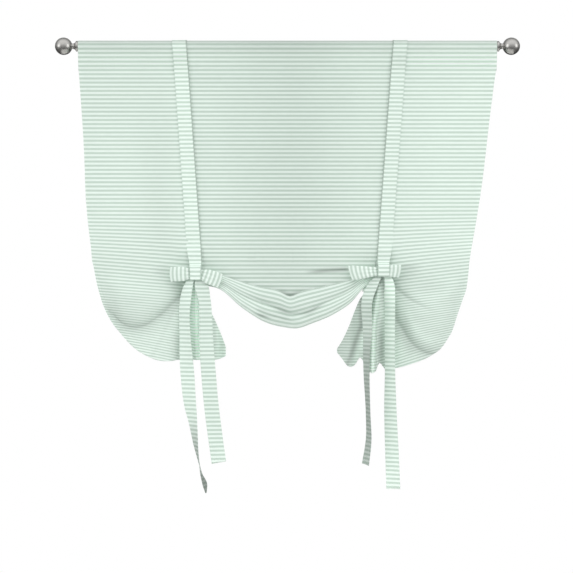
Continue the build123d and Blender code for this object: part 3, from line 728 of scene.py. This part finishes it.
@dataclass
class Tie:
    """One tie: a strap down the panel, half a knot with its loop, and a hanging tail."""

    name: str
    node: str
    finish: Material
    layer: Layer
    loop_side: Side
    strap_share: float
    knot_share: float
    knot_width: float
    loop_length: float
    loop_tilt: float
    tail_length: float
    tail_shares: Stations
    pass_side: Side
    pass_shares: Stations = ()
    panel_width: float = Panel.width
    width: float = 0.037
    thickness: float = 0.0012
    pocket_radius: float = 0.013
    stand_off: float = 0.0036
    lift: float = 3.5
    tail_light: float = 0.98
    tail_lift: float = 0.0
    strap_light: float = 1.0
    seam_drop: float = Panel.seam_drop
    knot_drop: float = Panel.knot_drop
    knot_rise: float = 0.0
    knot_approach: float = 0.06
    knot_height: float = 0.034
    knot_depth: float = 0.02
    loop_depth: float = 0.016
    band_reach: float = 0.0096
    pinch: float = 0.55
    taper: float = 0.55
    loop_skew: float = 0.0
    loop_rise: float = 0.0
    loop_width: float = 0.037
    strap_rows: int = 300
    tail_rows: int = 120
    loop_grid: Grid = (73, 25)
    core_grid: Grid = (13, 25)

    @property
    def knot(self) -> Pair:
        """X and Z of the knot's middle."""
        return self.panel_width * self.knot_share, self.knot_rise - self.knot_drop

    def ribbon(self, stations: Stations | Array, along: int, arc: float, start: float) -> Patch:
        """A ribbon through stations: a shallow bow across it, a smooth curve along it, turned about its line.

        Its stripes count the way along it and stay level where it leans.

        Args:
            stations: rows of x, y, z, width and turn in degrees.
            along: number of rows.
            arc: how far its middle stands forward, as a share of the width.
            start: where the first row's stripes begin.

        Returns:
            The patch.
        """
        table = np.array(stations, float)
        gaps = np.linalg.norm(np.diff(table[:, :3], axis=0), axis=1)
        knots = np.concatenate([[0], np.cumsum(gaps)])
        rows = np.column_stack([knots, table])
        at = np.linspace(0, knots[-1], along)
        middle = np.column_stack([curve(rows, at, c) for c in (1, 2, 3)])
        width, turn = curve(rows, at, 4), np.radians(curve(rows, at, 5))
        tangent = np.gradient(middle, axis=0)
        tangent /= np.linalg.norm(tangent, axis=1, keepdims=True)
        across = np.array([1.0, 0, 0]) - tangent * tangent[:, :1]
        across /= np.linalg.norm(across, axis=1, keepdims=True)
        normal = np.cross(tangent, across)
        way = across * np.cos(turn)[:, None] + normal * np.sin(turn)[:, None]
        out = np.cross(tangent, way)
        w = np.concatenate([[-0.5], np.linspace(-0.485, 0.485, 15), [0.5]])
        bowed = arc * (1 - (2 * w) ** 2)
        aside, forward = np.outer(width, w)[..., None], np.outer(width, bowed)[..., None]
        points = middle[:, None] + way[:, None] * aside - out[:, None] * forward
        level = width * way[:, 2] / np.maximum(np.abs(tangent[:, 2]), 0.5)
        run = (start + at)[:, None] - w * level[:, None]
        angle = np.abs(np.degrees(turn))
        shade = 0.5 * ease((angle - 45) / 35) + 0.22 * ease((angle - 86) / 12)
        light = (1.07 - shade)[:, None] + np.zeros(run.shape)
        return Patch(points, run, light)

    def strap(self) -> Patch:
        """The strap: over the pocket, down to the seam and along the panel, then over or under the knot.

        Its outer edge keeps to the mint of the stripes and takes a painted shadow, as a dark line.
        """
        sign = self.layer.value
        lean = asin(self.pocket_radius / self.seam_drop)
        angle = np.linspace(radians(8), pi / 2 + lean, 12)
        reach = self.pocket_radius + 0.0024
        flat = (self.stand_off - 0.0006) * sign
        seam = -self.seam_drop - self.stand_off * sin(lean)
        line = list(zip(sign * reach * np.sin(angle), reach * np.cos(angle)))
        line += [(sign * self.stand_off * cos(lean), seam), (flat, seam - 0.01)]
        knot, knot_z = self.knot
        line += [(flat, z) for z in np.linspace(seam - 0.06, knot_z + self.knot_approach, 7)]
        slant = -(self.knot_share - self.strap_share) / knot_z
        lift = self.lift * self.pass_side.value * -sign
        stations = [
            (self.panel_width * (self.strap_share - slant * z), y, z, self.width, lift * ease(-z / 0.1))
            for y, z in line
        ]
        if self.layer is Layer.FRONT:
            front = -self.knot_depth - self.band_reach
            half = self.knot_height / 2
            stations += [
                (knot, front / 2, knot_z + (self.knot_height + self.knot_approach) / 4, 0.84 * self.width, 0),
                (knot, front, knot_z + half, 0.78 * self.width, 0),
                (knot, front - 0.002, knot_z, self.knot_width, 0),
                (knot, front, knot_z - half, self.knot_width, 0),
            ]
        for drop, sideways, depth, width in self.pass_shares:
            x, z = knot + self.pass_side.value * sideways * self.width, -self.knot_drop - drop * self.width
            stations.append((x, depth * self.width, z, width * self.width, 0))
        patch = self.ribbon(stations, self.strap_rows, 0.012, 0.0)
        edge = slice(-2, None) if self.pass_side is Side.RIGHT else slice(0, 2)
        height = patch.points[..., 2]
        # Painted shade on the top over the pocket and just above the knot, and a painted shadow along the
        # outer edge.
        patch.light *= 1 - 0.34 * ease((height + 0.002) / 0.012)
        patch.light *= self.strap_light - 0.12 * bump(height, knot_z + 0.03, 0.022)
        patch.light[:, edge] *= 1 - 0.36 * ease((height[:, edge] - knot_z - 0.014) / 0.012)
        period, phase = StripedCotton.period, StripedCotton.mint_phase
        patch.run[:, edge] = (np.round(patch.run[:, edge] / period - phase) + phase) * period
        return patch

    def tail(self) -> Patch:
        """The tail: a ribbon from the knot that turns about its own line as it hangs."""
        knot, knot_z = self.knot
        drop, aside, forward, width, turn = np.array(self.tail_shares, float).T
        x, y = knot + aside * self.width, -self.knot_depth - forward * self.width
        stations = np.column_stack([x, y, knot_z - drop * self.tail_length, width * self.width, turn])
        patch = self.ribbon(stations, self.tail_rows, 0.03, 0.3)
        # Painted shade over the tail, and painted light on its upper part where a lift is given.
        patch.light *= self.tail_light + self.tail_lift * ease((patch.points[..., 2] + 0.8) / 0.12)
        return patch

    def loop(self) -> Patch:
        """The loop: a long, thin ring of ribbon, pinched at the knot, with puckers that fade away from it."""
        tilt = radians(self.loop_tilt)
        outward = np.array([self.loop_side.value * cos(tilt), 0, -sin(tilt)])
        upward = np.array([self.loop_side.value * sin(tilt), 0, cos(tilt)])
        t = np.linspace(0, 2 * pi, self.loop_grid[0])[:, None]
        w = np.linspace(-1, 1, self.loop_grid[1])[None, :]
        start = 0.0008 + tan(tilt) * self.pinch * self.width / 2
        far = (1 - np.cos(t)) / 2
        half_width = self.loop_width / 2 * (self.pinch + (1 - self.pinch) * ease(far / self.taper))
        bulge = self.loop_depth / 2 * np.sin(t) * (1 - 0.12 * w**2)
        pucker = 0.0011 * np.cos(3.2 * pi * w) * (1 - far) ** 1.5 * np.sign(np.sin(t))
        reach = start + self.loop_length * far * (1 + self.loop_skew * w) - 0.002 * w**2 * far
        knot, knot_z = self.knot
        middle = np.array([knot, -self.knot_depth, knot_z + self.loop_rise])
        points = middle + outward * reach[..., None] + upward * (half_width * w)[..., None]
        points[..., 1] -= bulge + pucker
        along, out = self.loop_length * far[:, 0], self.loop_depth / 2 * np.sin(t[:, 0])
        steps = np.hypot(np.diff(along), np.diff(out))
        run = np.concatenate([[0], np.cumsum(steps)])[:, None] + np.zeros(w.shape)
        return Patch(points, run + 0.002, np.full(run.shape, 1.02))

    def core(self) -> Patch:
        """The bunched cloth inside half the knot: a rounded lump."""
        a = np.linspace(0.02, pi - 0.02, self.core_grid[0])[:, None]
        b = np.linspace(0, 2 * pi, self.core_grid[1])[None, :]
        knot, knot_z = self.knot
        x = knot + self.loop_side.value * (0.0056 + 0.005 * np.sin(a) * np.cos(b))
        y = -self.knot_depth + 0.005 * np.sin(a) * np.sin(b)
        z = knot_z + 0.011 * np.cos(a) + 0 * b
        return Patch(np.stack([x, y, z], -1), z + 0.6, np.full(z.shape, 0.98))

    def build(self) -> None:
        """Builds the tie in place of its plain solid."""
        patches = [self.strap(), self.loop(), self.tail(), self.core()]
        cloth = cloth_object(self.name, patches, self.thickness, self.finish)
        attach(cloth, "curtain")
        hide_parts(self.node)


@dataclass
class Hardware:
    """The rod, its end plugs and its finials, which keep their solids and get their finishes."""

    finishes: dict[PlainFinish, tuple[str, str]]

    def dress(self) -> None:
        """Gives each solid its finish."""
        for finish, nodes in self.finishes.items():
            made = finish.make()
            for node in nodes:
                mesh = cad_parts[node].data
                mesh.materials.clear()
                mesh.materials.append(made)
                log.info("%s: %s", node, finish.name)


@dataclass
class Studio:
    """The camera, the soft light and the pale floor below the curtain."""

    lens: float = 100.0
    sensor: float = 36.0
    frame_width: float = 1.462
    middle: Pair = (-0.0025, -0.613)
    lamp_size: float = 2.2
    floor_height: float = -1.6
    floor_reach: float = 1.25

    def build(self) -> None:
        """Sets the camera in front of the curtain, then the sky, two lamps and the floor."""
        scene = bpy.context.scene
        scene.view_settings.view_transform = "Standard"
        camera = bpy.data.cameras.new("camera")
        camera.lens = self.lens
        camera.sensor_width = self.sensor
        seen = add_object("camera", camera)
        seen.location = (self.middle[0], -self.frame_width * self.lens / self.sensor, self.middle[1])
        seen.rotation_euler = (pi / 2, 0, 0)
        scene.camera = seen
        self.world(scene)
        self.lamp("key", (0.4, -2.2, 2.2), 14.0)
        self.lamp("back", (-0.3, 2.4, 1.0), 34.0)
        self.floor()
        log.info("studio: camera, two lamps and floor")

    def lamp(self, name: str, place: tuple[float, ...], power: float) -> None:
        """Adds a round area lamp that points at the curtain's middle and leaves no glint of its own."""
        light = bpy.data.lights.new(name, "AREA")
        light.shape = "DISK"
        light.size = self.lamp_size
        light.energy = power
        lamp = add_object(name, light)
        lamp.location = place
        lamp.rotation_euler = (Vector((0, 0, -0.5)) - lamp.location).to_track_quat("-Z", "Y").to_euler()
        lamp.visible_glossy = False

    def floor(self) -> None:
        """Adds a square, pale floor well below the curtain."""
        mesh = bpy.data.meshes.new("floor")
        far = self.floor_reach
        mesh.from_pydata([(-far, -far, 0), (far, -far, 0), (far, far, 0), (-far, far, 0)], [], [(0, 1, 2, 3)])
        mesh.materials.append(PlainFinish("pale floor", "#f3f3f1", "#f8f8f6", 0.0, 0.8, 2.0).make())
        ground = add_object("floor", mesh)
        ground.location = (0, 0, self.floor_height)

    def world(self, scene: bpy.types.Scene) -> None:
        """Makes a sky that is white to the camera.

        For light and reflections it is bright above, dim below and behind, and bright again in a spot at each
        side, so that folds and metal have form.
        """
        scene.world = bpy.data.worlds.new("soft sky")
        tree = blank_tree(scene.world)
        way = add_node(tree, "ShaderNodeTexCoord", out="Generated")
        high, deep = (add_node(tree, "ShaderNodeSeparateXYZ", {0: way}, out=axis) for axis in "ZY")
        above = rescale(tree, high, (-0.6, 0.8), (0.26, 1.3), smooth=True)
        behind = rescale(tree, deep, (-0.35, 0.55), (1.0, 0.32), smooth=True)
        level = calculate(tree, "MULTIPLY", above, behind)
        for side in ((-0.866, -0.5, 0.05), (0.9, -0.43, 0.05)):
            links = {0: way, 1: side}
            near = add_node(tree, "ShaderNodeVectorMath", links, out="Value", operation="DOT_PRODUCT")
            glow = rescale(tree, near, (0.93, 0.99), (0.0, 1.7), smooth=True)
            level = calculate(tree, "ADD", level, glow)
        seen = add_node(tree, "ShaderNodeLightPath", out="Is Camera Ray")
        strength = add_node(tree, "ShaderNodeMix", {"Factor": seen, 2: level, 3: 1.0})
        sky = add_node(tree, "ShaderNodeBackground", {"Color": linear("#ffffff"), "Strength": strength})
        add_node(tree, "ShaderNodeOutputWorld", {"Surface": sky})


def make_ties(finish: Material) -> list[Tie]:
    """The four ties with their own loops, tails and ways round the cloth.

    A tail's rows are drop as a share of its length, then aside, forward and width in tie widths, and turn in
    degrees. The rows of a way round are drop, aside, depth and width, in tie widths.

    Args:
        finish: the cloth they share.

    Returns:
        The ties, not yet built.
    """
    left_front = (
        (0.008, -0.16, 0.0, 0.24, 0), (0.045, -0.42, 0.08, 0.55, 12), (0.142, -0.72, 0.16, 1, 40),
        (0.27, -0.72, 0.18, 1, 40), (0.4535, -0.55, 0.18, 1, 18), (0.605, -0.345, 0.16, 1, 34),
        (0.678, -0.17, 0.14, 1, 52), (0.793, 0.05, 0.1, 1, 72), (0.873, 0.27, 0.06, 0.8, 85),
        (0.915, 0.4, 0.04, 0.75, 94), (0.965, 0.66, 0.02, 0.9, 104), (1, 0.72, 0, 0.2, 104),
    )
    left_back = (
        (0.008, 0.14, 0.0, 0.24, 0), (0.048, 0.33, 0.06, 0.82, 0), (0.138, 0.62, 0.12, 0.84, -8),
        (0.22, 0.7, 0.14, 0.88, -9), (0.314, 0.73, 0.15, 0.94, -10), (0.526, 0.9, 0.15, 1, -6),
        (0.7, 1.1, 0.12, 1, -4), (0.877, 1.39, 0.08, 1, -8), (1, 1.61, 0.05, 1, -10),
    )
    right_front = (
        (0.008, 0.16, 0.0, 0.24, 0), (0.045, 0.36, 0.08, 0.6, 20), (0.13, 0.42, 0.16, 1, 48),
        (0.3, 0.42, 0.18, 1, 51), (0.466, 0.44, 0.18, 1, 50), (0.62, 0.46, 0.14, 1, 39),
        (0.85, 0.586, 0.08, 1, 27), (1, 0.67, 0.05, 1, 23),
    )
    right_back = (
        (0.008, -0.14, 0.0, 0.24, 0), (0.057, -0.6, 0.08, 0.6, 20), (0.125, -1.05, 0.18, 1, 45),
        (0.317, -1.1, 0.22, 1, 56), (0.412, -1.17, 0.21, 1, 66), (0.525, -1.17, 0.2, 1, 70),
        (0.738, -1.06, 0.14, 1, 76), (0.868, -1.02, 0.1, 1, 72), (1, -1.24, 0.06, 1, 66),
    )
    left_pass = (
        (-0.14, 0, 0.27, 0.8), (0.54, 0.27, 0.36, 0.5), (1.03, 0.6, 0.32, 0.32),
        (1.18, 0.76, 0.1, 0.32), (1.18, 0.74, -0.16, 0.32), (0.9, 0.58, -0.38, 0.3),
        (0.25, 0.18, -0.52, 0.25),
    )
    right_pass = (
        (-0.14, 0.08, 0.27, 0.8), (0.54, 0.55, 0.36, 0.5), (0.95, 1.05, 0.32, 0.32),
        (1.21, 1.27, 0.1, 0.32), (1.21, 1.25, -0.16, 0.32), (0.9, 0.95, -0.4, 0.3),
        (0.25, 0.2, -0.52, 0.25),
    )
    left = {"strap_share": Panel.strap_tops[0], "knot_share": Panel.knots[0], "knot_width": 0.027}
    left["pass_side"] = Side.RIGHT
    right = {"strap_share": Panel.strap_tops[1], "knot_share": Panel.knots[1], "knot_width": 0.029}
    right |= {"pass_side": Side.LEFT, "knot_rise": 0.006}
    return [
        Tie(
            "left_front_ribbon", "left_front_tie", finish, Layer.FRONT, Side.LEFT, **left,
            loop_length=0.064, loop_tilt=2.0, tail_length=0.557, tail_shares=left_front, strap_light=1.045,
        ),
        Tie(
            "left_back_ribbon", "left_back_tie", finish, Layer.BACK, Side.RIGHT, **left,
            pass_shares=left_pass, loop_length=0.064, loop_tilt=20.0, loop_rise=0.004,
            tail_length=0.48, tail_shares=left_back, tail_light=0.91,
        ),
        Tie(
            "right_front_ribbon", "right_front_tie", finish, Layer.FRONT, Side.RIGHT, **right,
            knot_height=0.028, loop_length=0.043, loop_tilt=0.0, loop_width=0.032, loop_skew=0.07,
            tail_length=0.553, tail_shares=right_front, tail_lift=0.12,
        ),
        Tie(
            "right_back_ribbon", "right_back_tie", finish, Layer.BACK, Side.LEFT, **right,
            pass_shares=right_pass, loop_length=0.084, loop_tilt=3.0, taper=1.0, loop_skew=0.055,
            tail_length=0.491, tail_shares=right_back, tail_light=0.85,
        ),
    ]


def main() -> None:
    """Builds the curtain from its panel to its hardware, then the studio round it."""
    logging.basicConfig(level=logging.INFO, format="%(message)s")
    cotton = StripedCotton().make()
    Panel(cotton).build()
    for tie in make_ties(cotton):
        tie.build()
    nickel = PlainFinish("satin nickel", "#a6a5a2", "#bdbcb9", 1.0, 0.27)
    steel = PlainFinish("plated tube", "#a19f9b", "#b3b1ad", 1.0, 0.3)
    plastic = PlainFinish("plug plastic", "#2b2b2b", "#363636", 0.0, 0.5)
    finials, tubes = ("left_finial", "right_finial"), ("rod_outer_tube", "rod_inner_tube")
    Hardware({nickel: finials, steel: tubes, plastic: ("left_end_plug", "right_end_plug")}).dress()
    Studio().build()


if __name__ == "__main__":
    main()
